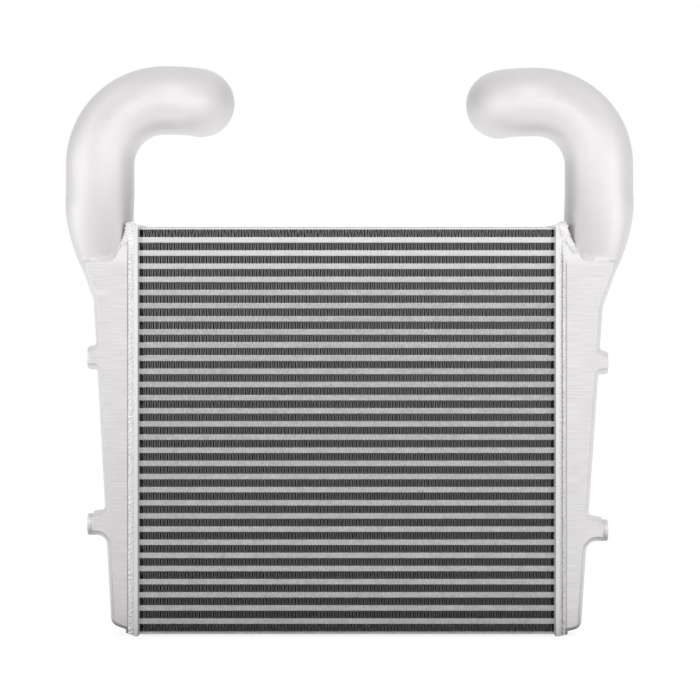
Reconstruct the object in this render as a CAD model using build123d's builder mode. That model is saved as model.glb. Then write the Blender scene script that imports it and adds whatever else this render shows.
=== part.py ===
from build123d import *
from math import acos, copysign, cos, degrees, pi, radians, sin, sqrt, tan
import os

# Bar-and-plate charge-air cooler: a brazed aluminium core between two cast tanks.
# Millimetres. X runs across the core, Y from the front face to the rear, Z up.
# The origin is the centre of the bottom side plate's underside.

# Core
core_width = 534.0  # between the two header frames
core_depth = 64.0
fin_layers = 31
fin_height = 10.0
fin_folds = 20  # sloping walls in one ambient fin strip
fin_wall = 0.4  # measured upright through a sloping wall
passage_height = 5.6  # also the height of the bars
parting_sheet = 0.6
bar_width = 9.0
turbulator_folds = 4
turbulator_wall = 0.5
turbulator_side_gap = 0.5
end_bar_width = 5.0
end_bar_to_fin = 3.0
side_plate_thickness = 3.0

# Header frames, which the tanks are welded to
header_thickness = 8.0
header_overhang = 3.0  # how far a header stands proud of the core all round
weld_depth = 3.5
weld_onto_header = 3.0
weld_onto_tank = 7.0
weld_crown = 1.5
weld_crown_ease = 1.5

# Cast tanks
tank_wall = 6.0
draft_angle = 11.0  # both ways from the parting plane at mid-depth
tank_edge_chamfer = 1.2
foot_radius = 12.0
flank_angle = 20.0  # outer wall between the kink and the pipe, from the vertical
flank_level = 5.5  # above the core, where the flank line meets the pipe's side
kink_radius = 25.0
relief_radius = 38.0  # hollow in the tank's shoulder that the neck runs down into
relief_offset = 51.0  # relief centre, out from the header
relief_wall = 12.0  # thicker than the tank's, because the neck's root stands on it

# Pipe, neck and hose spigot
pipe_radius = 44.0
pipe_wall = 5.0
neck_top = 45.0  # above the core, where the pipe starts to turn into the tank
neck_bottom = 75.0  # below the core's top, buried in the tank
neck_sections = 5
passage_sections = 3  # the hidden passage is plainer than the outside
passage_sides = 16  # flat sides, in place of a rough sand-cast bore
neck_flank_radius = 140.0  # eases the pipe's side into the flank
neck_front_radius = 450.0  # eases the pipe's front into the tank's flat face
neck_squareness = 1.6  # added to the round section's exponent of 2 by the lowest section
neck_outline_points = 16
neck_proud = 1.5
neck_tuck = 8.0
neck_from_header = 3.0
second_bend_radius = 44.5
spigot_radius = 40.0
spigot_bore_radius = 36.0
spigot_length = 46.0
spigot_taper_length = 10.0
spigot_chamfer = 1.0

# Mounting bosses on the tanks' outer walls
boss_radius = 14.0
boss_block_flare = 10.0  # the top of a block rises this steeply towards the tank
lower_block_height = 31.0
lower_collar_length = 8.0
lower_fillet_radius = 13.0
upper_block_height = 30.0
upper_collar_length = 2.5
upper_fillet_radius = 4.0
collar_chamfer = 1.2
boss_hole_radius = 4.25  # tapping size of an M10 thread
boss_hole_depth = 12.0

# Left and right tank patterns, which differ a little. Bosses are placed from the origin's level.
left_foot = 28.0  # outer wall, out from the header, carried down to the origin's level
left_wall_lean = 3.1
left_foot_slope = 21.0
left_pipe_offset = 43.0  # out from the header
left_bend_radius = 83.0
left_run_rise = 164.5  # the pipe's run across, above the core
left_boss_face = 58.5  # out from the header
left_upper_boss = 353.0
left_lower_boss = 138.5
right_foot = 26.5
right_wall_lean = 3.9
right_foot_slope = 13.0
right_pipe_offset = 50.0
right_bend_radius = 81.0
right_run_rise = 162.5
right_boss_face = 61.0
right_upper_boss = 346.5
right_lower_boss = 130.5

# Worked out from the sizes above
tube_height = passage_height + 2 * parting_sheet
layer_pitch = fin_height + tube_height
core_height = 2 * side_plate_thickness + fin_layers * fin_height + (fin_layers - 1) * tube_height
core_end = core_width / 2
header_face = core_end + header_thickness
header_depth = core_depth + 2 * header_overhang
header_height = core_height + 2 * header_overhang
mid_height = core_height / 2
half_depth = header_depth / 2
draft_run = half_depth * tan(radians(draft_angle))
outline_start = header_face - 2 * draft_run  # so that the draft leaves the open side alone
machining_reach = 2 * draft_run  # clears what the draft leaves beyond a boss block's end
machining_height = 4 * boss_radius


def zigzag(length, height, wall, folds, level):
    """Closed outline of a folded strip, centred on the sketch's upright axis."""
    step = length / folds
    rise = height - wall
    under = [(-length / 2 + i * step, level + rise * (i % 2)) for i in range(folds + 1)]
    over = [(x, y + wall) for x, y in reversed(under)]
    Polyline(*under, *over, close=True)


def header_block(steps):
    """A stepped block on the header's outline: each step is (X, how far outside)."""
    with BuildPart() as block:
        for place, outside in steps:
            with BuildSketch(Plane.YZ.offset(place)):
                with Locations((0, mid_height)):
                    Rectangle(header_depth + 2 * outside, header_height + 2 * outside)
        loft(ruled=True)
    return block.part


def foot_wedge(slope):
    """Everything below the sloping underside of a tank's foot."""
    reach = header_face + relief_offset + 2 * pipe_radius
    start = core_end + weld_onto_header
    rise = (reach - start) * tan(radians(slope))
    with BuildPart() as wedge:
        with BuildSketch(Plane.XZ.offset(-header_depth)):
            with BuildLine():
                Polyline(
                    (start, -header_overhang),
                    (reach, -header_overhang + rise),
                    (reach, -reach),
                    (start, -reach),
                    close=True,
                )
            make_face()
        extrude(amount=2 * header_depth)
    return wedge.part


def header_frame(slope):
    """The frame on the end of the core, bevelled where the weld goes."""
    bevel_start = header_face - weld_onto_header
    bevel = header_block([(bevel_start, 0), (header_face, -weld_depth)])
    wedge = foot_wedge(slope)
    with BuildPart() as frame:
        with BuildSketch(Plane.YZ.offset(core_end)):
            with Locations((0, mid_height)):
                Rectangle(header_depth, header_height)
        extrude(amount=bevel_start - core_end)
        add(bevel)
        with BuildSketch(Plane.YZ.offset(core_end)):
            with Locations((0, mid_height)):
                Rectangle(core_depth - 2 * bar_width, core_height - 2 * side_plate_thickness)
        extrude(amount=header_thickness, mode=Mode.SUBTRACT)
        add(wedge, mode=Mode.SUBTRACT)
    return frame.part


def tank_corners(foot, lean, slope, pipe_offset, inset, hollow):
    """Corners of a tank's outline, `inset` inside its outer walls, from the header round."""
    tilt = tan(radians(lean))
    flare = tan(radians(flank_angle))
    fall = tan(radians(slope))
    wall_foot = foot - inset / cos(radians(lean))
    pipe_side = pipe_offset + pipe_radius - inset / cos(radians(flank_angle))
    flank_top = core_height + flank_level
    start = core_end + weld_onto_header
    base = -header_overhang + inset / cos(radians(slope)) - start * fall
    corner_z = (base + wall_foot * fall) / (1 - fall * tilt)
    kink_z = (wall_foot - pipe_side + flank_top * flare) / (flare - tilt)
    ledge = core_height - hollow
    return [
        (outline_start, base + outline_start * fall),
        (wall_foot + corner_z * tilt, corner_z),
        (wall_foot + kink_z * tilt, kink_z),
        (pipe_side - (flank_top - ledge) * flare, ledge),
    ]


def boss_block(foot, lean, base, height, end):
    """Corners of a boss block's outline, which runs past its machined end."""
    tilt = tan(radians(lean))
    flare = tan(radians(boss_block_flare))
    tip = end + draft_run
    top = base + height
    root = (foot + tilt * (top + end * flare)) / (1 + tilt * flare)
    return [
        (foot + base * tilt, base),
        (tip, base),
        (tip, top - draft_run * flare),
        (root, top + (end - root) * flare),
    ]


def tank_top(shoulder, inset, hollow):
    """The outline's top: a ledge, the relief of radius `hollow` and the rim along the header."""
    centre = (header_face + relief_offset, core_height)
    sweep_angle = degrees(acos(inset / hollow))
    rim_top = core_height + header_overhang - inset
    Line(shoulder, (centre[0], centre[1] - hollow))
    relief = CenterArc(centre, hollow, 270, -sweep_angle)
    Polyline(relief @ 1, ((relief @ 1).X, rim_top), (outline_start, rim_top))


def vertex_at(sketch, point):
    """The sketch's vertex nearest to a point."""
    return sketch.vertices().sort_by_distance(point)[0]


def drafted(outline, depth):
    """An outline drafted both ways from the parting plane, then stood upright."""
    with BuildPart() as half:
        add(outline)
        extrude(amount=depth, taper=draft_angle)
        mirror(about=Plane.XY)
    return Rot(90, 0, 0) * half.part


def tank_box(foot, lean, slope, pipe_offset, boss_face, upper_boss, lower_boss):
    """The drafted box of a tank with its two boss blocks, before it is cored out."""
    corners = tank_corners(foot, lean, slope, pipe_offset, 0, relief_radius)
    inner, corner, kink, shoulder = corners
    lower_end = boss_face - lower_collar_length
    upper_end = boss_face - upper_collar_length
    upper_base = upper_boss - upper_block_height / 2
    lower = boss_block(foot, lean, lower_boss - boss_radius, lower_block_height, lower_end)
    upper = boss_block(foot, lean, upper_base, upper_block_height, upper_end)
    with BuildSketch() as outline:
        with BuildLine() as edge:
            Polyline(inner, corner, *lower, *upper, kink, shoulder)
            tank_top(shoulder, 0, relief_radius)
            Line(edge.line @ 1, edge.line @ 0)
        make_face()
        fillet(vertex_at(outline, corner), foot_radius)
        fillet(vertex_at(outline, lower[0]), lower_fillet_radius)
        fillet(vertex_at(outline, lower[3]), upper_fillet_radius)
        fillet(vertex_at(outline, upper[0]), upper_fillet_radius)
        fillet(vertex_at(outline, upper[3]), upper_fillet_radius)
        fillet(vertex_at(outline, kink), kink_radius)
    blank = drafted(outline.sketch, half_depth)
    with BuildPart() as box:
        add(blank)
        chamfer(box.faces().filter_by(Axis.Y).edges(), tank_edge_chamfer)
        split(bisect_by=Plane.YZ.offset(header_face), keep=Keep.TOP)
        for end, level in ((lower_end, lower_boss), (upper_end, upper_boss)):
            with Locations((end + machining_reach / 2, 0, level)):
                Box(machining_reach, header_depth, machining_height, mode=Mode.SUBTRACT)
    return box.part


def tank_core(foot, lean, slope, pipe_offset):
    """The hollow inside the box, open towards the header."""
    hollow = relief_radius + relief_wall
    corners = tank_corners(foot, lean, slope, pipe_offset, tank_wall, hollow)
    with BuildSketch() as outline:
        with BuildLine() as edge:
            Polyline(*corners)
            tank_top(corners[-1], tank_wall, hollow)
            Line(edge.line @ 1, edge.line @ 0)
        make_face()
    return drafted(outline.sketch, half_depth - tank_wall)


def neck_section(share, pipe_offset, inset):
    """Centre, half width, half depth and exponent of the neck, `share` of the way down."""
    drop = share * (neck_top + neck_bottom)
    level = core_height + neck_top - drop
    flank = radians(flank_angle)
    turn_start = core_height + flank_level + neck_flank_radius * tan(flank / 2)
    turn_run = neck_flank_radius * sin(flank)
    below = min(max(turn_start - level, 0), turn_run)
    lean_in = neck_flank_radius - sqrt(neck_flank_radius**2 - below**2)
    lean_in += max(turn_start - turn_run - level, 0) * tan(flank)
    ledge = core_height - relief_radius
    buried = max(ledge - level, 0) / (neck_bottom - relief_radius)
    outer = pipe_offset + pipe_radius - lean_in + neck_proud * share - neck_tuck * buried**2
    header_side = header_face + neck_from_header
    inner = (1 - share) * (pipe_offset - pipe_radius) + share * header_side
    front = pipe_radius - neck_front_radius + sqrt(neck_front_radius**2 - drop**2)
    exponent = 2 + neck_squareness * share
    middle = (outer + inner) / 2
    return level, middle, (outer - inner) / 2 - inset, front - inset, exponent


def superellipse(half_width, half_depth_here, exponent, count):
    """Points round a closed curve between a circle and a box."""
    points = []
    for i in range(count):
        angle = 2 * pi * i / count
        across = copysign(abs(cos(angle)) ** (2 / exponent), cos(angle))
        along = copysign(abs(sin(angle)) ** (2 / exponent), sin(angle))
        points.append((half_width * across, half_depth_here * along))
    return points


def neck(pipe_offset):
    """The loft that turns the round pipe into the flat-sided tank."""
    with BuildPart() as body:
        for i in range(neck_sections):
            share = i / (neck_sections - 1)
            level, middle, wide, deep, exponent = neck_section(share, pipe_offset, 0)
            with BuildSketch(Plane((middle, 0, level))):
                if i == 0:
                    Circle(wide)
                else:
                    with BuildLine():
                        Spline(*superellipse(wide, deep, exponent, neck_outline_points), periodic=True)
                    make_face()
        loft()
    return body.part


def neck_passage(pipe_offset):
    """The way through the neck, with flat sides that meet the elbow's."""
    with BuildPart() as body:
        for i in range(passage_sections):
            share = i / (passage_sections - 1)
            level, middle, wide, deep, exponent = neck_section(share, pipe_offset, pipe_wall)
            with BuildSketch(Plane((middle, 0, level))):
                with BuildLine():
                    Polyline(*superellipse(wide, deep, exponent, passage_sides), close=True)
                make_face()
        loft(ruled=True)
    return body.part


def elbow(pipe_offset, bend_radius, run_height, section):
    """A section taken up, inwards over the core, then to the rear."""
    foot_level = core_height + neck_top
    bend_level = run_height - bend_radius
    turn_x = pipe_offset - bend_radius
    mouth_x = turn_x - second_bend_radius
    with BuildPart() as pipe:
        with BuildLine():
            upright = Line((pipe_offset, 0, foot_level), (pipe_offset, 0, bend_level))
            first = TangentArc(upright @ 1, (turn_x, 0, run_height), tangent=(0, 0, 1))
            TangentArc(first @ 1, (mouth_x, second_bend_radius, run_height), tangent=(-1, 0, 0))
        with BuildSketch(Plane((pipe_offset, 0, foot_level))):
            add(section)
        sweep()
    return pipe.part


def spigot_plane(pipe_offset, bend_radius, run_height):
    """Where the hose spigot starts: X outwards from its axis, Y along it."""
    mouth_x = pipe_offset - bend_radius - second_bend_radius
    return Plane((mouth_x, second_bend_radius, run_height), x_dir=(1, 0, 0), z_dir=(0, 0, 1))


def spigot(place):
    """The turned end that the hose clamps onto."""
    with BuildPart() as end:
        with BuildSketch(place):
            with BuildLine():
                Polyline(
                    (0, 0),
                    (pipe_radius, 0),
                    (spigot_radius, spigot_taper_length),
                    (spigot_radius, spigot_length - spigot_chamfer),
                    (spigot_radius - spigot_chamfer, spigot_length),
                    (0, spigot_length),
                    close=True,
                )
            make_face()
        revolve(axis=Axis(place.origin, place.y_dir))
    return end.part


def spigot_bore(place):
    """The bore, which narrows with the outside and runs out of the spigot's end."""
    bore_start = pipe_radius - pipe_wall
    clear_of_end = spigot_length + spigot_taper_length
    with BuildPart() as bore:
        with BuildSketch(place):
            with BuildLine():
                Polyline(
                    (0, 0),
                    (bore_start, 0),
                    (spigot_bore_radius, spigot_taper_length),
                    (spigot_bore_radius, clear_of_end),
                    (0, clear_of_end),
                    close=True,
                )
            make_face()
        revolve(axis=Axis(place.origin, place.y_dir))
    return bore.part


def cast_tank(foot, lean, slope, pipe_offset, bend_radius, run_height, face, upper, lower):
    """One tank casting, drawn on the right-hand side of the core."""
    spigot_start = spigot_plane(pipe_offset, bend_radius, run_height)
    with BuildSketch() as pipe:
        Circle(pipe_radius)
    with BuildSketch() as passage:
        RegularPolygon(pipe_radius - pipe_wall, passage_sides)
    outside = [
        tank_box(foot, lean, slope, pipe_offset, face, upper, lower),
        header_block([(header_face, -weld_depth), (header_face + weld_onto_tank, 0)]),
        neck(pipe_offset),
        elbow(pipe_offset, bend_radius, run_height, pipe.sketch),
        spigot(spigot_start),
    ]
    inside = [
        tank_core(foot, lean, slope, pipe_offset),
        neck_passage(pipe_offset),
        elbow(pipe_offset, bend_radius, run_height, passage.sketch),
        spigot_bore(spigot_start),
        foot_wedge(slope),
    ]
    with BuildPart() as tank:
        add(outside)
        for level, length in ((upper, upper_collar_length), (lower, lower_collar_length)):
            with BuildSketch(Plane((face - length, 0, level), z_dir=(1, 0, 0))):
                Circle(boss_radius)
            extrude(amount=length)
            chamfer(tank.edges().sort_by_distance((face, boss_radius, level))[0], collar_chamfer)
        add(inside, mode=Mode.SUBTRACT)
        for level in (upper, lower):
            with Locations(Plane((face, 0, level), z_dir=(1, 0, 0))):
                Hole(boss_hole_radius, boss_hole_depth)
    return tank.part


def weld_bead(slope, tank):
    """The seam round the rim: it fills the groove and stands a little proud."""
    start = header_face - weld_onto_header
    end = header_face + weld_onto_tank
    filled = header_block(
        [
            (start, 0),
            (start + weld_crown_ease, weld_crown),
            (end - weld_crown_ease, weld_crown),
            (end, 0),
        ]
    )
    groove = header_block([(start, 0), (header_face, -weld_depth), (end, 0)])
    wedge = foot_wedge(slope)
    with BuildPart() as bead:
        add(filled)
        add([groove, wedge, tank], mode=Mode.SUBTRACT)
    # Where the neck stands on the rim, a sliver inside its mouth is left out
    return bead.solids().sort_by(SortBy.VOLUME)[-1]


def save(piece, name):
    """Label a finished piece and write it to a file of its own."""
    piece.part.label = name
    export_step(piece.part, f"parts/{name}.step")


os.makedirs("parts", exist_ok=True)

right_casting = cast_tank(
    header_face + right_foot,
    right_wall_lean,
    right_foot_slope,
    header_face + right_pipe_offset,
    right_bend_radius,
    core_height + right_run_rise,
    header_face + right_boss_face,
    right_upper_boss,
    right_lower_boss,
)
left_casting = cast_tank(
    header_face + left_foot,
    left_wall_lean,
    left_foot_slope,
    header_face + left_pipe_offset,
    left_bend_radius,
    core_height + left_run_rise,
    header_face + left_boss_face,
    left_upper_boss,
    left_lower_boss,
)
right_frame = header_frame(right_foot_slope)
right_seam = weld_bead(right_foot_slope, right_casting)
left_frame = header_frame(left_foot_slope)
left_seam = weld_bead(left_foot_slope, left_casting)

with BuildPart() as right_tank:
    add(right_casting)
save(right_tank, "right_tank")

with BuildPart() as left_tank:
    add(left_casting)
    mirror(about=Plane.YZ, mode=Mode.REPLACE)
save(left_tank, "left_tank")

with BuildPart() as right_header:
    add(right_frame)
save(right_header, "right_header")

with BuildPart() as left_header:
    add(left_frame)
    mirror(about=Plane.YZ, mode=Mode.REPLACE)
save(left_header, "left_header")

with BuildPart() as right_weld:
    add(right_seam)
save(right_weld, "right_weld")

with BuildPart() as left_weld:
    add(left_seam)
    mirror(about=Plane.YZ, mode=Mode.REPLACE)
save(left_weld, "left_weld")

for name, level in (("bottom_side_plate", 0), ("top_side_plate", core_height - side_plate_thickness)):
    with BuildPart() as side_plate:
        with BuildSketch(Plane.XY.offset(level)):
            Rectangle(core_width, core_depth)
        extrude(amount=side_plate_thickness)
    save(side_plate, name)

for name, side in (("left_end_bars", -1), ("right_end_bars", 1)):
    with BuildPart() as closing_bars:
        with BuildSketch(Plane.XZ.offset(-core_depth / 2)):
            for layer in range(fin_layers):
                middle = side_plate_thickness + fin_height / 2 + layer * layer_pitch
                with Locations((side * (core_end - end_bar_width / 2), middle)):
                    Rectangle(end_bar_width, fin_height)
        extrude(amount=core_depth)
    save(closing_bars, name)

for number in range(fin_layers - 1):
    middle = side_plate_thickness + fin_height + tube_height / 2 + number * layer_pitch
    with BuildPart() as tube:
        with BuildSketch(Plane.YZ.offset(-core_end)):
            with Locations((0, middle)):
                Rectangle(core_depth, tube_height)
                Rectangle(core_depth - 2 * bar_width, passage_height, mode=Mode.SUBTRACT)
        extrude(amount=core_width)
    save(tube, f"charge_tube_{number + 1:02d}")

with BuildPart() as turbulators:
    with BuildSketch(Plane.YZ.offset(-core_end)):
        for number in range(fin_layers - 1):
            floor = side_plate_thickness + fin_height + parting_sheet + number * layer_pitch
            breadth = core_depth - 2 * bar_width - 2 * turbulator_side_gap
            with BuildLine():
                zigzag(breadth, passage_height, turbulator_wall, turbulator_folds, floor)
            make_face()
    extrude(amount=core_width)
save(turbulators, "turbulators")

with BuildPart() as ambient_fins:
    with BuildSketch(Plane.XZ.offset(-core_depth / 2)):
        for layer in range(fin_layers):
            floor = side_plate_thickness + layer * layer_pitch
            length = core_width - 2 * end_bar_width - 2 * end_bar_to_fin
            with BuildLine():
                zigzag(length, fin_height, fin_wall, fin_folds, floor)
            make_face()
    extrude(amount=core_depth)
save(ambient_fins, "ambient_fins")
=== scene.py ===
import math
import random

import bmesh
import bpy
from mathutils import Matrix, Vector, noise


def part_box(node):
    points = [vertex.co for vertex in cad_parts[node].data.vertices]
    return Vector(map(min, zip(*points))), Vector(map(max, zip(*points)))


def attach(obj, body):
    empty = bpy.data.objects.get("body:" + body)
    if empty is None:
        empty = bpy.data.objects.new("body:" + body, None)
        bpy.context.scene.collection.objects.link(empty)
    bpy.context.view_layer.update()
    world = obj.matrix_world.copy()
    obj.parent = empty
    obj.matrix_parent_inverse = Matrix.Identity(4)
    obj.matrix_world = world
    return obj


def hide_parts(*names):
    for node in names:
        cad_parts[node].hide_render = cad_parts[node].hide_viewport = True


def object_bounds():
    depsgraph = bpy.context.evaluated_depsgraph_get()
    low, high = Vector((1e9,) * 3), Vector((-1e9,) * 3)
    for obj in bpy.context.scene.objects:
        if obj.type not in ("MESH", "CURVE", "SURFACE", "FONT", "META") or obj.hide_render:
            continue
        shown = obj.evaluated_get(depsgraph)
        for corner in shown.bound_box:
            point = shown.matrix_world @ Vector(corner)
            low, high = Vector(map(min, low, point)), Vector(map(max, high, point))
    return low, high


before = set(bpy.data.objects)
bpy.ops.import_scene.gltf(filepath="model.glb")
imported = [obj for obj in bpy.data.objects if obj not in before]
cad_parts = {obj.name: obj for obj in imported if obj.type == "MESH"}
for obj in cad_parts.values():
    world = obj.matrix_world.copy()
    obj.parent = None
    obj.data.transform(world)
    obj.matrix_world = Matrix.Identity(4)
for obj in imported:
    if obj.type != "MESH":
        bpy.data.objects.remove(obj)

# A charge-air cooler in metres: X across the core, Y from the front to the rear, Z up.
MM = 0.001
cad_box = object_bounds()

# Photographer's view
CAMERA_PLACE = (4.1 * MM, -3635 * MM, 362.8 * MM)
LENS = 145
SENSOR = 36

# Core and headers, read from the frame. The tanks' flat faces are level with the headers' faces.
LAYERS = 31
BOTTOM_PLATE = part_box("bottom_side_plate")
TOP_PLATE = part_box("top_side_plate")
HEADERS = {side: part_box(f"{side}_header") for side in ("left", "right")}
CORE_FRONT, CORE_REAR = BOTTOM_PLATE[0].y, BOTTOM_PLATE[1].y
CORE_LOW, CORE_TOP = BOTTOM_PLATE[1].z, TOP_PLATE[1].z
HEADER_START, HEADER_TOP = HEADERS["right"][0].x, HEADERS["right"][1].z
FACE = HEADERS["right"][1].y

# Core bars are painted lighter towards the top, as the light falls from above
TOP_LIGHT_START, TOP_LIGHT_FULL = CORE_LOW + 400 * MM, CORE_LOW + 560 * MM

# Ambient fins. A pitch runs from one upright wall to the next, and grows a little from left to
# right. A wall leans by up to CROOKED pitches either way, on top of LEAN_KEPT of the last
# wall's lean. On its way back through the core a strip sways in FIN_STEPS straight steps.
FIN_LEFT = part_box("left_end_bars")[1].x
FIN_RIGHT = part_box("right_end_bars")[0].x
FOIL = 0.32 * MM
FOIL_PITCH, OUTER_PITCH = 2.29 * MM, 2.13 * MM
FOLD_POINTS = 5
FOLD_STRETCH = 0.015
CROOKED, OUTER_CROOKED = 0.09, 0.5
LEAN_KEPT = 0.6
FIN_STEPS = 4
FIN_SWAY = 3.2 * MM
FIN_SETBACK = 0.5 * MM
FIN_CLEARANCE = 0.1 * MM

# Braze at the left ends of some rows
BRAZED_LAYERS = (25, 27, 29)
BRAZE_START = HEADERS["left"][1].x + 0.3 * MM
BRAZE_RUN, BRAZE_DEPTH = 4.6 * MM, 2 * MM
BRAZE_RISE = 0.55  # of the row's height

# Weld seams, measured out from the centre of the core
SEAM_START = 272.1 * MM
SEAM_WIDTH = 9.8 * MM
SEAM_THICKNESS = 1.0 * MM
SEAM_COLUMNS = 14
RIPPLE_PITCH = 6.4 * MM
ROWS_PER_RIPPLE = 8
FOOT_SLOPES = {"left": 29.0, "right": 13.0}
FOOT_START = 270 * MM
FOOT_CROWN = 0.15
# Heights across a seam from header to tank, in millimetres
SEAM_HEIGHTS = {
    "left": [(0, -0.4), (0.14, 0.5), (0.62, 1.5), (0.78, 1.1), (0.88, -0.7), (1, -1.2)],
    "right": [(0, -0.4), (0.2, -0.9), (0.34, 0.2), (0.5, 0.9), (0.66, 0.2), (0.8, -0.9), (1, -1.3)],
}
# Ripples: height, how far they curve as a share of the pitch, and how sharp they are
RIPPLE_HEIGHT = {"left": 0.55 * MM, "right": 0.25 * MM}
RIPPLE_CURVE = {"left": 0.35, "right": 0.2}
RIPPLE_SHARPNESS = 1.4
# A seam's unevenness: how often it changes, and how much, in its path, height and ripples
PATH_RATE, PATH_WANDER = 30, 0.35 * MM
ROUGH_RATE, ROUGH_RATE_ACROSS, ROUGH_HEIGHT = 170, 2.4, 0.22 * MM
SHIFT_RATE, SHIFT, SHIFT_BY_ROUGHNESS = 60, 0.5, 700
# Lines along a seam, of soot or of bright pearls with painted glints on their ripples: where they
# run, and how far they wander
WELD_TOE = 280.4 * MM
WELD_JOINT = 275.2 * MM
WELD_PEARLS = 277.4 * MM
WELD_WANDER = 1.6 * MM

# Corner welds: a row of lumps from the header's top outwards and down, smaller on the way
LUMPS = 11
LUMP_RADII = Vector((6.4, 2.6, 5.6)) * MM
LUMP_TAPER = 0.3
LUMP_SWELL, LUMP_SWELL_RATE = 0.32, 1.7
LUMP_RINGS, LUMP_RING_SKEW, LUMP_RING_HEIGHT = 9, 3, 0.03
LUMP_SINK = 0.5 * MM
LUMPS_START, LUMPS_BELOW_TOP = SEAM_START + 4 * MM, 1.5 * MM
LUMPS_SPREAD = {"left": 9 * MM, "right": 15 * MM}
LUMPS_DROP = {"left": 22 * MM, "right": 32 * MM}
LUMPS_BEND = 1.5

# Fillets of weld between the headers and the top side plate
FILLET_RUN, FILLET_RISE = 14 * MM, HEADER_TOP - CORE_TOP
FILLET_SINK, FILLET_INSET = 0.2 * MM, 1 * MM

# Tone: the neck's lower end, painted shade about the neck's welded corner, and painted shade
# towards the foot as the light falls off downwards
NECK_START, NECK_EASE = 475 * MM, 7 * MM
CORNER_X, CORNER_Z = 282 * MM, 512 * MM
NECK_SHADE_FULL, NECK_SHADE_REACH = 6 * MM, 80 * MM
LOW_SHADE_FADE = 420 * MM

# Castings: a face is flat, and keeps a crisp edge, where its normal's Y is above this
FLAT_ENOUGH = 0.9999
MERGE_DISTANCE = 0.002 * MM

# Studio: the level of light from each side, and where metal shows the white backdrop
ROOM = {"rear": 0.7, "left": 0.6, "right": 0.8, "above": 0.85}
BACKDROP_START, BACKDROP_FULL = 0.75, 0.95
# Paper floor: metal shows its glow, which fades far out in front, and fades right under the part as
# a painted shadow in the metal's reflections
FLOOR_SIZE, FLOOR_GAP = 40, 0.05 * MM
PAPER_SHADE = 0.25
PAPER_GLOW = 0.83
MIRRORED_FAR, MIRRORED_NEAR = (-1.4, -0.5), (-0.05, 0.25)
RAY_KINDS = ("Camera", "Glossy", "Transmission")
WHITE = (1, 1, 1, 1)
# Softboxes: degrees round from the front (+ to the right), degrees up, and watts
SOFTBOX_SIZE = (0.8, 0.8)
SOFTBOX_REACH = 1.4
SOFTBOX_AIM = Vector((0, 0, 0.4))
SOFTBOXES = [
    (-78, 5, 1.4),
    (-60, 40, 1.0),
    (-52, 5, 2.0),
    (-25, 5, 1.8),
    (0, 5, 2.2),
    (0, 40, 2.9),
    (28, 5, 2.3),
    (55, 5, 2.4),
    (60, 40, 0.6),
]


class Signal:
    """A socket in a finish. Python's operators on it become Math nodes."""

    def __init__(self, finish, socket):
        self.finish = finish
        self.socket = socket

    def __add__(self, other):
        return self.finish.math("ADD", self, other)

    def __sub__(self, other):
        return self.finish.math("SUBTRACT", self, other)

    def __rsub__(self, other):
        return self.finish.math("SUBTRACT", other, self)

    def __mul__(self, other):
        return self.finish.math("MULTIPLY", self, other)

    def __pow__(self, other):
        return self.finish.math("POWER", self, other)

    __radd__ = __add__
    __rmul__ = __mul__

    def between(self, low, high):
        """0 below low, 1 above high, and smooth in between."""
        settings = {"interpolation_type": "SMOOTHSTEP"}
        inputs = {"Value": self, "From Min": low, "From Max": high}
        return self.finish.node("ShaderNodeMapRange", settings, inputs)

    def size(self):
        """The value without its sign."""
        return self.finish.math("ABSOLUTE", self)

    def stripe(self, middle, inner, outer):
        """1 within `inner` of the middle, 0 past `outer` of it, and smooth in between."""
        return 1 - (self - middle).size().between(inner, outer)

    def wave(self):
        """The sine of the value."""
        return self.finish.math("SINE", self)

    def lobe(self):
        """The square of the value, or 0 where it is negative."""
        return self.finish.math("MAXIMUM", self, 0.0) ** 2


class Nodes:
    """A node tree, built one node at a time."""

    def __init__(self, tree):
        self.tree = tree
        self.tree.nodes.clear()

    def node(self, kind, settings=None, inputs=None, output=None):
        """Any node: its settings are made first, then its sockets get values or links."""
        made = self.tree.nodes.new(kind)
        for key, value in (settings or {}).items():
            setattr(made, key, value)
        for key, value in (inputs or {}).items():
            socket = made.inputs[key] if isinstance(key, int) else self.find(made.inputs, key)
            if isinstance(value, Signal):
                self.tree.links.new(value.socket, socket)
            else:
                socket.default_value = value
        found = self.find(made.outputs, output) if output else self.first(made.outputs)
        return Signal(self, found)

    def find(self, sockets, name):
        """The socket in use that has this name."""
        return next(s for s in sockets if s.name == name and s.enabled)

    def first(self, sockets):
        """The first socket in use, or None for a node without outputs."""
        return next((s for s in sockets if s.enabled), None)

    def parts(self, vector):
        """The X, Y and Z of a vector."""
        settings, inputs = None, {0: vector}
        return [self.node("ShaderNodeSeparateXYZ", settings, inputs, axis) for axis in "XYZ"]

    def math(self, operation, first, second=0.0):
        """One Math node."""
        return self.node("ShaderNodeMath", {"operation": operation}, {0: first, 1: second})

    def seen(self):
        """1 for what the camera sees, straight or through glass, and 1 in mirrors of metal."""
        rays = [self.node("ShaderNodeLightPath", output=f"Is {kind} Ray") for kind in RAY_KINDS]
        camera, glossy, transmission = rays
        return self.math("MAXIMUM", camera, transmission), glossy


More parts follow.
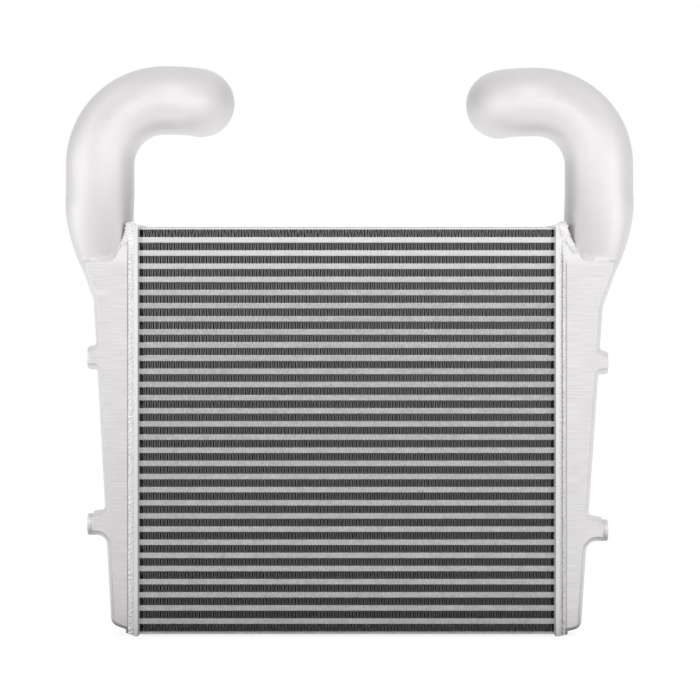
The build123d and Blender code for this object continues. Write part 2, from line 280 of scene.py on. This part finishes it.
class Finish(Nodes):
    """A material whose patterns follow the object's own place."""

    def __init__(self, name):
        self.material = bpy.data.materials.new(name)
        self.material.use_nodes = True
        super().__init__(self.material.node_tree)
        self.place = self.node("ShaderNodeTexCoord", output="Object")
        self.x, self.y, self.z = self.parts(self.place)

    def foot(self):
        """1 at the part's foot, fading to 0 further up. Finishes darken by it as painted shade, as
        the light falls off downwards.
        """
        return 1 - self.z.between(0, LOW_SHADE_FADE)

    def grain(self, scale, detail, stretch=(1, 1, 1), shift=(0, 0, 0)):
        """Noise from 0 to 1 in the object's own place, stretched along its axes."""
        inputs = {"Vector": self.place, "Scale": stretch, "Location": shift}
        place = self.node("ShaderNodeMapping", None, inputs)
        inputs = {"Vector": place, "Scale": scale, "Detail": detail}
        return self.node("ShaderNodeTexNoise", None, inputs)

    def blend(self, share, first, second):
        """A colour between two colours."""
        inputs = {"Factor": share, "A": first, "B": second}
        return self.node("ShaderNodeMix", {"data_type": "RGBA"}, inputs)

    def bump(self, height, depth, strength, under=None):
        """A surface normal from a height signal whose full range is `depth` metres."""
        inputs = {"Height": height, "Distance": depth, "Strength": strength}
        if under:
            inputs["Normal"] = under
        return self.node("ShaderNodeBump", None, inputs)

    def metal(self, colour, roughness, normal):
        """Joins the signals in a metal shader and returns the finished material."""
        inputs = {
            "Base Color": colour,
            "Roughness": roughness,
            "Metallic": 1.0,
            "Normal": normal,
        }
        shader = self.node("ShaderNodeBsdfPrincipled", None, inputs)
        self.node("ShaderNodeOutputMaterial", None, {"Surface": shader})
        return self.material


def grey(level, warmth=0.008):
    """A slightly warm, slightly violet grey, as aluminium has."""
    return (level + warmth, level - warmth / 2, level + warmth / 4, 1)


def cast_finish():
    """Tanks: satin pipes and flat faces linished crosswise, on sand-cast aluminium, with painted
    shade on the necks and towards the foot.
    """
    f = Finish("linished_cast_aluminium")
    across, depth, _ = f.parts(f.node("ShaderNodeNewGeometry", output="Normal"))
    side = f.x.between(-1 * MM, 1 * MM) * 2 - 1
    neck = f.z.between(NECK_START - NECK_EASE, NECK_START + NECK_EASE)
    flat = depth.size().between(0.96, 0.995) * (1 - neck)
    # Painted shade on the inner sides of the necks and pipes, which face each other across the core
    inner = (0 - across * side).between(0.55, 1.0) * neck
    # Painted shade about the neck's corner, on the neck's round front more than on the flat face
    # beside it
    corner = ((f.x.size() - CORNER_X) ** 2 + ((f.z - CORNER_Z) * 0.6) ** 2) ** 0.5
    neck_shade = (1 - corner.between(NECK_SHADE_FULL, NECK_SHADE_REACH)) * neck
    proud = f.y.size().between(FACE + 0.4 * MM, FACE + 2 * MM)
    neck_shade *= f.math("MAXIMUM", proud, 1 - depth.size().between(0.97, 0.999))
    neck_shade *= 0.35 + depth.size().between(0.1, 0.6) * 0.65
    blotch = f.grain(26, detail=2)
    fine = f.grain(900, detail=2)
    lines = f.grain(30, stretch=(1, 1, 16), detail=5)
    scratches = f.grain(60, stretch=(0.5, 1, 20), detail=4, shift=(0.3, 0, 0))
    worn = blotch * 0.3 + fine * 0.15 + flat * (lines + scratches - 1) * 1.5
    clean_and_lit = f.blend(worn + 0.4, grey(0.70, 0.012), grey(0.90, 0.012))
    seam = f.x.stripe(WELD_TOE, 0.4 * MM, 1.1 * MM) * (1 - neck) * depth.size().between(0.5, 0.9)
    # Painted shade on the inner sides, about the neck's corner, and towards the foot, where the
    # left tank is darker than the right; with it the darker weld toe line and flat faces
    shade_and_dirt = neck_shade * 0.5 + inner * 0.2 + f.foot() * (0.14 - side * 0.08) + seam * 0.7 + flat * 0.26
    colour = f.blend(shade_and_dirt, clean_and_lit, grey(0.42, 0.012))
    roughness = 0.50 + blotch * 0.08 - flat * 0.06
    normal = f.bump(blotch, 0.5 * MM, 0.35)
    normal = f.bump(fine, 0.06 * MM, 0.4, under=normal)
    normal = f.bump((lines + scratches * 0.6) * flat, 0.35 * MM, 0.35, under=normal)
    return f.metal(colour, roughness, normal)


def header_finish():
    """Header frames: mill aluminium with faint upright marks from dressing the seam."""
    f = Finish("mill_aluminium_header")
    streaks = f.grain(90, stretch=(12, 12, 1), detail=4)
    spots = f.grain(420, detail=3)
    clean_and_lit = f.blend(streaks * 0.6 + spots * 0.3, grey(0.72), grey(0.90))
    # Painted shade towards the foot, as the light falls off downwards
    colour = f.blend(f.foot() * 0.3, clean_and_lit, grey(0.42))
    normal = f.bump(streaks, 0.2 * MM, 0.3)
    normal = f.bump(spots, 0.1 * MM, 0.4, under=normal)
    return f.metal(colour, 0.40 + spots * 0.1, normal)


def weld_finish():
    """Weld metal: a row of bright pearls on the left with painted glints along their ripples, soot
    lines along the joints, and painted shade on the fillets' top rim and towards the foot.
    """
    f = Finish("rippled_weld")
    pits = f.grain(520, detail=3)
    wander = f.grain(45, stretch=(0.2, 1, 1), detail=3, shift=(0, 0, 0.7)) - 0.5
    across = f.x.size() + wander * WELD_WANDER
    ripples = ((f.z + wander * WELD_WANDER) * (math.tau / RIPPLE_PITCH)).wave()
    right = f.x.between(0, 1 * MM)
    below = 1 - f.z.between(NECK_START, CORNER_Z)
    toe = across.stripe(WELD_TOE, 0.6 * MM, 1.7 * MM) * below
    joint = across.stripe(WELD_JOINT, 0.4 * MM, 1.3 * MM)
    joint *= right * below * (0.75 + ripples.between(-0.6, 0.8) * 0.25)
    # Bright weld pearls, with painted glints that rise and fall with the ripples
    pearls_and_glints = across.stripe(WELD_PEARLS, 0.7 * MM, 1.7 * MM)
    pearls_and_glints *= (1 - right) * ripples.between(-0.1, 0.9)
    # Painted shade: a dark rim along the sloping top edge of the corner fillets, in the shade of
    # the header's edge
    run = (f.x.size() - HEADER_START) * (FILLET_RISE / FILLET_RUN)
    rim_shade = (f.z - run).between(HEADER_TOP - 1.4 * MM, HEADER_TOP - 0.6 * MM)
    rim_shade *= 1 - (f.x.size() - HEADER_START).between(0, 0.1 * MM)
    clean_and_lit = f.blend(pits.between(0.35, 0.65), grey(0.56), grey(0.78))
    clean_and_lit = f.blend(f.math("MAXIMUM", pearls_and_glints, (1 - below) * 0.6), clean_and_lit, grey(0.93))
    soot_and_shade = f.math("MAXIMUM", toe, f.math("MAXIMUM", joint, rim_shade * 0.9))
    # Soot along the joints, with painted shade on the fillets' rim and towards the foot
    colour = f.blend(f.math("MAXIMUM", soot_and_shade * 0.85, f.foot() * 0.15), clean_and_lit, grey(0.2))
    normal = f.bump(pits, 0.25 * MM, 0.6)
    return f.metal(colour, 0.36 + pits * 0.12, normal)


def bar_finish():
    """Core bars: dull grey from the brazing furnace, painted lighter near the top of the core as
    the light falls from above, and painted darker beside the headers and towards the foot as shade.
    """
    f = Finish("brazed_bars")
    grain = f.grain(420, detail=4)
    speck = f.grain(900, detail=3, shift=(0.2, 0, 0))
    cloud = f.grain(34, detail=3)
    # Painted light: the bars are lighter towards the top of the core
    clean_and_lit = f.z.between(TOP_LIGHT_START, TOP_LIGHT_FULL)
    tone = (grain - 0.5) * 1.3 + (speck - 0.5) * 1.3 + cloud * 0.5
    dull = f.blend(tone + 0.2, grey(0.34), grey(0.64))
    colour = f.blend(clean_and_lit * 0.8, dull, grey(0.92))
    # Painted shade beside the headers, whose edges stand proud of the bars
    end = f.x.size().between(HEADER_START - 7.5 * MM, HEADER_START - 4.5 * MM) * 0.4
    edge = f.z.between(CORE_TOP - 1.2 * MM, CORE_TOP - 0.5 * MM) * grain * 1.2
    edge *= f.y.size().between(CORE_REAR - 1.5 * MM, CORE_REAR - 0.5 * MM)
    # Painted shade towards the foot
    colour = f.blend(f.foot() * 0.15 + end + edge, colour, grey(0.32))
    normal = f.bump(grain, 0.16 * MM, 0.5)
    normal = f.bump(speck, 0.1 * MM, 0.5, under=normal)
    return f.metal(colour, 0.48 + grain * 0.12, normal)


def foil_finish():
    """Fins: thin foil, painted near black inside the core as shade, and lighter on its front and
    rear edges as lit, more so higher up.
    """
    f = Finish("fin_foil")
    grain = f.grain(700, detail=2)
    cloud = f.grain(60, detail=2)
    middle = (CORE_FRONT + CORE_REAR) / 2
    half = (CORE_REAR - CORE_FRONT) / 2 - FIN_SETBACK
    # Painted light and shade: the front and rear edges are lighter, the walls between them near
    # black as the shade inside the core
    edge = (f.y - middle).size().between(half - 2.5 * MM, half)
    # Painted light: the edges are lighter towards the top of the core, as the light falls from
    # above
    height = f.z.between(CORE_LOW - 200 * MM, TOP_LIGHT_FULL)
    tone = edge * (0.16 + 0.3 * grain + 0.56 * height) + cloud * 0.08
    colour = f.blend(tone, grey(0.07, 0.0), grey(0.66, 0.0))
    normal = f.bump(grain, 0.05 * MM, 0.3)
    return f.metal(colour, 0.45 + grain * 0.1, normal)


def end_bar_finish():
    """End bars: painted near black as the shade of the header's edge and the dark gap before the
    fins, apart from a grey strip beside the header.
    """
    f = Finish("shaded_end_bars")
    grain = f.grain(420, detail=4)
    # Painted shade: near black beyond a narrow grey strip beside the header
    gap_shade = (HEADER_START - f.x.size()).between(1.6 * MM, 2.6 * MM)
    colour = f.blend(gap_shade + 0.2 * grain - 0.1, grey(0.36), grey(0.015, 0.0))
    normal = f.bump(grain, 0.12 * MM, 0.5)
    return f.metal(colour, 0.55 + grain * 0.1, normal)


def turbulator_finish():
    """Turbulator foil inside the tubes."""
    f = Finish("turbulator_foil")
    grain = f.grain(600, detail=2)
    colour = f.blend(grain, grey(0.48), grey(0.62))
    normal = f.bump(grain, 0.05 * MM, 0.3)
    return f.metal(colour, 0.5 + grain * 0.1, normal)


def only(geom, kind):
    """The vertices, edges or faces among what an operator gives back."""
    return [g for g in geom if isinstance(g, kind)]


def all_geom(bm):
    """Everything in a bmesh, as bisect_plane takes it."""
    return bm.verts[:] + bm.edges[:] + bm.faces[:]


def made_object(bm, name, material):
    """Turns a bmesh into an object in the scene."""
    mesh = bpy.data.meshes.new(name)
    bm.to_mesh(mesh)
    bm.free()
    mesh.materials.append(material)
    made = bpy.data.objects.new(name, mesh)
    bpy.context.scene.collection.objects.link(made)
    return made


def finished_piece(bm, name, material):
    """Turns a bmesh into a piece of the part, which rides with its body and has a slot."""
    bmesh.ops.recalc_face_normals(bm, faces=bm.faces)
    piece = made_object(bm, name, material)
    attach(piece, "root")
    return piece


def smooth_by_angle(piece, degrees):
    """Shades a piece smooth, apart from edges that turn by more than an angle."""
    piece.data.shade_smooth()
    piece.data.set_sharp_from_angle(angle=math.radians(degrees))


def casting(node, material):
    """A copy of a tank with its triangles joined, so that its curves shade smoothly."""
    bm = bmesh.new()
    bm.from_mesh(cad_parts[node].data)
    bmesh.ops.remove_doubles(bm, verts=bm.verts, dist=MERGE_DISTANCE)
    piece = finished_piece(bm, node + "_casting", material)
    smooth_by_angle(piece, degrees=28)
    bm = bmesh.new()
    bm.from_mesh(piece.data)
    # The flat faces keep a crisp edge against the curves beside them
    for edge in bm.edges:
        flat = {abs(face.normal.y) > FLAT_ENOUGH for face in edge.link_faces}
        if len(flat) == 2:
            edge.smooth = False
    bm.to_mesh(piece.data)
    bm.free()
    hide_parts(node)


def layer_span(layer):
    """Lowest and highest level of one fin layer, between its neighbours in the stack."""
    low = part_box(f"charge_tube_{layer:02d}")[1].z if layer else CORE_LOW
    top = layer == LAYERS - 1
    high = TOP_PLATE[0].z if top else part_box(f"charge_tube_{layer + 1:02d}")[0].z
    return low, high


def wedge(bm, corner, run, rise, depth):
    """A three-sided prism: a right-angled triangle, seen from the front, drawn out to the rear."""
    verts = [bm.verts.new(corner) for _ in range(3)]
    verts[1].co.x += run
    verts[2].co.z += rise
    face = bmesh.ops.contextual_create(bm, geom=verts)["faces"]
    drawn = bmesh.ops.extrude_face_region(bm, geom=face)["geom"]
    bmesh.ops.translate(bm, verts=only(drawn, bmesh.types.BMVert), vec=(0, depth, 0))


def fold_line(bm, left, right, layer):
    """The front edge of a fin strip: upright walls, leaning a little, joined by round folds."""
    chance = random.Random(100 + layer)
    low, high = layer_span(layer)
    outer = layer in (0, LAYERS - 1)
    pitch = OUTER_PITCH if outer else FOIL_PITCH
    crooked = OUTER_CROOKED if outer else CROOKED
    walls = round((right - left) / pitch)
    ends = [bm.verts.new((x, CORE_FRONT + FIN_SETBACK, low)) for x in (left, right)]
    bm.edges.new(ends)
    bmesh.ops.subdivide_edges(bm, edges=bm.edges[:], cuts=walls * FOLD_POINTS - 1)
    middle, reach = (high + low) / 2, (high - low) / 2 - FOIL
    radius = pitch / 2
    lean = 0.0
    for i, vert in enumerate(sorted(bm.verts, key=lambda v: v.co.x)):
        wall, part = divmod(i, FOLD_POINTS)
        upward = 1 if wall % 2 else -1
        # Each wall has two points, and the rest are on the round fold that follows it
        if part == 0:
            lean = LEAN_KEPT * lean + chance.uniform(-crooked, crooked) * pitch
        if part < 2:
            across, up = 0, (2 * part - 1) * (reach - radius)
        else:
            turn = math.pi * (FOLD_POINTS - part) / (FOLD_POINTS - 1)
            across, up = radius * (1 + math.cos(turn)), reach - radius * (1 - math.sin(turn))
        stretch = FOLD_STRETCH * (wall - walls) * wall / walls
        across += (wall + 0.5 + stretch) * pitch + upward * lean * up / reach
        vert.co.x = left + across
        vert.co.z = middle + upward * up


def fin_strip(layer, material):
    """One strip of folded foil that sways on its way back, cut off at the end bars."""
    bm = bmesh.new()
    fold_line(bm, FIN_LEFT - FIN_SWAY, FIN_RIGHT + FIN_SWAY, layer)
    edges = bm.edges[:]
    step = (CORE_REAR - CORE_FRONT - 2 * FIN_SETBACK) / FIN_STEPS
    for n in range(FIN_STEPS):
        drawn = bmesh.ops.extrude_edge_only(bm, edges=edges)["geom"]
        edges = only(drawn, bmesh.types.BMEdge)
        sway = FIN_SWAY if n % 2 else -FIN_SWAY
        if n in (0, FIN_STEPS - 1):
            sway /= 2
        bmesh.ops.translate(bm, verts=only(drawn, bmesh.types.BMVert), vec=(sway, step, 0))
    bmesh.ops.solidify(bm, geom=bm.faces[:], thickness=FOIL)
    for end, outward in ((FIN_LEFT, -1), (FIN_RIGHT, 1)):
        place, facing = (end - outward * FIN_CLEARANCE, 0, 0), (outward, 0, 0)
        bmesh.ops.bisect_plane(
            bm, geom=all_geom(bm), plane_co=place, plane_no=facing, clear_outer=True
        )
    return finished_piece(bm, f"fin_strip_{layer + 1:02d}", material)


def build_fins(material):
    """All the fin strips, in place of the coarse ones in the frame."""
    for layer in range(LAYERS):
        strip = fin_strip(layer, material)
        if layer == 0:
            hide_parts("ambient_fins")


def build_braze_wedges(material):
    """Slopes of braze metal in the lower left corners of three fin rows."""
    bm = bmesh.new()
    for layer in BRAZED_LAYERS:
        low, high = layer_span(layer)
        corner = (BRAZE_START, CORE_FRONT + FIN_SETBACK, low)
        wedge(bm, corner, BRAZE_RUN, (high - low) * BRAZE_RISE, BRAZE_DEPTH)
    finished_piece(bm, "braze_wedges", material)


def eased(points, share):
    """A height between chosen points (share, height), eased so that the curve has no corners."""
    for (x0, y0), (x1, y1) in zip(points, points[1:]):
        if share <= x1:
            part = (share - x0) / (x1 - x0)
            return y0 + (y1 - y0) * part * part * (3 - 2 * part)
    return points[-1][1]


def seam_run(bm, side, length, place, outward, seed):
    """One straight run of a seam. place(across, distance, height) gives each point's place."""
    rows = round(length / RIPPLE_PITCH * ROWS_PER_RIPPLE)
    verts = bmesh.ops.create_grid(bm, x_segments=rows, y_segments=SEAM_COLUMNS, size=1)["verts"]
    for vert in verts:
        distance = (vert.co.x + 1) / 2 * length
        share = (vert.co.y + 1) / 2
        wander = noise.noise(Vector((distance * PATH_RATE, seed, 0))) * PATH_WANDER
        spot = Vector((distance * ROUGH_RATE, share * ROUGH_RATE_ACROSS, seed))
        rough = noise.noise(spot) * ROUGH_HEIGHT
        shift = noise.noise(Vector((distance * SHIFT_RATE, seed, 4))) * SHIFT
        curve = RIPPLE_CURVE[side] * (1 - (2 * share - 1) ** 2)
        phase = distance / RIPPLE_PITCH + curve + rough * SHIFT_BY_ROUGHNESS + shift
        ripple = RIPPLE_HEIGHT[side] * (1 - phase % 1) ** RIPPLE_SHARPNESS
        inside = math.sin(math.pi * share)
        height = eased(SEAM_HEIGHTS[side], share) * MM + (ripple + rough) * inside
        across = SEAM_START + share * SEAM_WIDTH + wander * inside
        vert.co = place(across, distance, height)
    # The run faces outwards before the seam gets its thickness, inwards from it
    faces = list(dict.fromkeys(face for vert in verts for face in vert.link_faces))
    for face in faces:
        face.normal_update()
    if sum(face.normal.dot(outward) for face in faces) < 0:
        bmesh.ops.reverse_faces(bm, faces=faces)


def build_seam(side, material):
    """The seam between a header and its tank: front, top, rear and foot runs."""
    sign = -1 if side == "left" else 1
    (_, front, low), (_, rear, high) = HEADERS[side]
    slope = math.tan(math.radians(FOOT_SLOPES[side]))

    def on_front(across, distance, height):
        return (sign * across, front - height, low + distance)

    def on_rear(across, distance, height):
        return (sign * across, rear + height, low + distance)

    def on_top(across, distance, height):
        return (sign * across, front + distance, high + height)

    def on_foot(across, distance, height):
        level = low + (across - FOOT_START) * slope
        return (sign * across, front + distance, level - height * FOOT_CROWN)

    bm = bmesh.new()
    seam_run(bm, side, high - low, on_front, Vector((0, -1, 0)), 1)
    seam_run(bm, side, high - low, on_rear, Vector((0, 1, 0)), 2)
    seam_run(bm, side, rear - front, on_top, Vector((0, 0, 1)), 3)
    foot, facing = (sign * FOOT_START, 0, low), (sign * slope, 0, -1)
    bmesh.ops.bisect_plane(bm, geom=all_geom(bm), plane_co=foot, plane_no=facing, clear_outer=True)
    seam_run(bm, side, rear - front, on_foot, Vector((0, 0, -1)), 4)
    bmesh.ops.solidify(bm, geom=bm.faces[:], thickness=SEAM_THICKNESS)
    piece = finished_piece(bm, f"{side}_seam", material)
    smooth_by_angle(piece, degrees=50)
    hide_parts(f"{side}_weld")


def weld_lump(bm, place, radii, seed):
    """One lump of weld metal, swollen unevenly and ringed like the seam."""
    ball = bmesh.ops.create_icosphere(bm, subdivisions=4, radius=1)
    for vert in ball["verts"]:
        swell = 1 + LUMP_SWELL * noise.noise(vert.co * LUMP_SWELL_RATE + Vector((seed, 0, 0)))
        turn = vert.co.z * LUMP_RINGS + vert.co.x * LUMP_RING_SKEW + seed
        ring = 1 + LUMP_RING_HEIGHT * math.sin(turn)
        vert.co = place + radii * vert.co * swell * ring


def build_corner_welds(side, material):
    """A run of weld up the crease beside a neck's root, front and rear."""
    sign = -1 if side == "left" else 1
    low, high = HEADERS[side]
    bm = bmesh.new()
    for y, outward in ((low.y, -1), (high.y, 1)):
        for n in range(LUMPS):
            share = n / (LUMPS - 1)
            across = LUMPS_START + LUMPS_SPREAD[side] * share**LUMPS_BEND
            level = high.z - LUMPS_BELOW_TOP - LUMPS_DROP[side] * share
            place = Vector((sign * across, y - outward * LUMP_SINK, level))
            weld_lump(bm, place, LUMP_RADII * (1 - LUMP_TAPER * share), 7 * n + outward)
    piece = finished_piece(bm, f"{side}_corner_weld", material)
    smooth_by_angle(piece, degrees=60)


def build_corner_fillet(side, material):
    """The small run of weld between a header's top and the core's top plate."""
    sign = -1 if side == "left" else 1
    bm = bmesh.new()
    corner = (sign * HEADER_START, CORE_FRONT + FILLET_INSET, CORE_TOP - FILLET_SINK)
    depth = CORE_REAR - CORE_FRONT - 2 * FILLET_INSET
    wedge(bm, corner, -sign * FILLET_RUN, FILLET_RISE, depth)
    piece = finished_piece(bm, f"{side}_corner_fillet", material)
    smooth_by_angle(piece, degrees=40)


def paper_finish():
    """White paper that keeps shadows. It glows for the camera, and partly for metal."""
    f = Finish("studio_paper")
    matte = f.node("ShaderNodeBsdfDiffuse", None, {"Color": grey(PAPER_SHADE, 0.0)})
    direct, mirrored = f.seen()
    # Painted shadow: metal sees little glow from the paper right under the part
    mirrored *= f.y.between(*MIRRORED_FAR) * f.y.size().between(*MIRRORED_NEAR)
    strength = f.math("MAXIMUM", direct, mirrored) * PAPER_GLOW
    glow = f.node("ShaderNodeEmission", None, {"Strength": strength})
    surface = f.node("ShaderNodeAddShader", None, {0: matte, 1: glow})
    f.node("ShaderNodeOutputMaterial", None, {"Surface": surface})
    return f.material


def studio_floor():
    """The sheet of paper under the part."""
    bm = bmesh.new()
    bmesh.ops.create_grid(bm, x_segments=1, y_segments=1, size=FLOOR_SIZE)
    bmesh.ops.translate(bm, verts=bm.verts, vec=(0, 0, cad_box[0].z - FLOOR_GAP))
    made_object(bm, "studio_floor", paper_finish())


def studio_world():
    """Soft light that differs from side to side, and a white backdrop behind the part."""
    world = bpy.data.worlds.new("studio")
    world.use_nodes = True
    bpy.context.scene.world = world
    n = Nodes(world.node_tree)
    x, y, z = n.parts(n.node("ShaderNodeTexCoord", output="Generated"))
    level = y.lobe() * ROOM["rear"] + z.lobe() * ROOM["above"]
    level += (0 - x).lobe() * ROOM["left"] + x.lobe() * ROOM["right"]
    light = n.node("ShaderNodeBackground", None, {"Color": WHITE, "Strength": level})
    white = n.node("ShaderNodeBackground", None, {"Color": WHITE, "Strength": 1.0})
    direct, mirrored = n.seen()
    share = n.math("MAXIMUM", direct, mirrored * y.between(BACKDROP_START, BACKDROP_FULL))
    mix = n.node("ShaderNodeMixShader", None, {0: share, 1: light, 2: white})
    n.node("ShaderNodeOutputWorld", None, {"Surface": mix})


def softbox(round_angle, up_angle, power):
    """A square studio lamp on a sphere about the part."""
    lamp = bpy.data.lights.new("softbox", "AREA")
    lamp.shape = "RECTANGLE"
    lamp.size, lamp.size_y = SOFTBOX_SIZE
    lamp.energy = power
    holder = bpy.data.objects.new("softbox", lamp)
    turn, up = math.radians(round_angle), math.radians(up_angle)
    flat = Vector((math.sin(turn), -math.cos(turn), 0)) * math.cos(up)
    outward = flat + Vector((0, 0, math.sin(up)))
    holder.location = SOFTBOX_AIM + outward * SOFTBOX_REACH
    holder.rotation_euler = (-outward).to_track_quat("-Z", "Y").to_euler()
    bpy.context.scene.collection.objects.link(holder)


def make_camera():
    """A long lens, square to the front face."""
    data = bpy.data.cameras.new("camera")
    data.lens = LENS
    data.sensor_width = SENSOR
    camera = bpy.data.objects.new("camera", data)
    camera.location = CAMERA_PLACE
    camera.rotation_euler = (math.radians(90), 0, 0)
    bpy.context.scene.collection.objects.link(camera)
    bpy.context.scene.camera = camera


def paint(node, material):
    """Gives a CAD node its finish."""
    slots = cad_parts[node].material_slots
    for slot in slots:
        slot.material = material
    if not slots:
        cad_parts[node].data.materials.append(material)


# Studio
make_camera()
studio_world()
studio_floor()
for lamp in SOFTBOXES:
    softbox(*lamp)
bpy.context.scene.view_settings.view_transform = "Standard"

# Finishes
cast = cast_finish()
header = header_finish()
weld = weld_finish()
bars = bar_finish()
end_bars = end_bar_finish()
foil = foil_finish()
inner_foil = turbulator_finish()

# Pieces
for side in ("left", "right"):
    casting(f"{side}_tank", cast)
    paint(f"{side}_header", header)
    build_seam(side, weld)
    build_corner_welds(side, weld)
    build_corner_fillet(side, weld)
    paint(f"{side}_end_bars", end_bars)
for name in ("top_side_plate", "bottom_side_plate"):
    paint(name, bars)
for number in range(1, LAYERS):
    paint(f"charge_tube_{number:02d}", bars)
paint("turbulators", inner_foil)
build_fins(foil)
build_braze_wedges(bars)
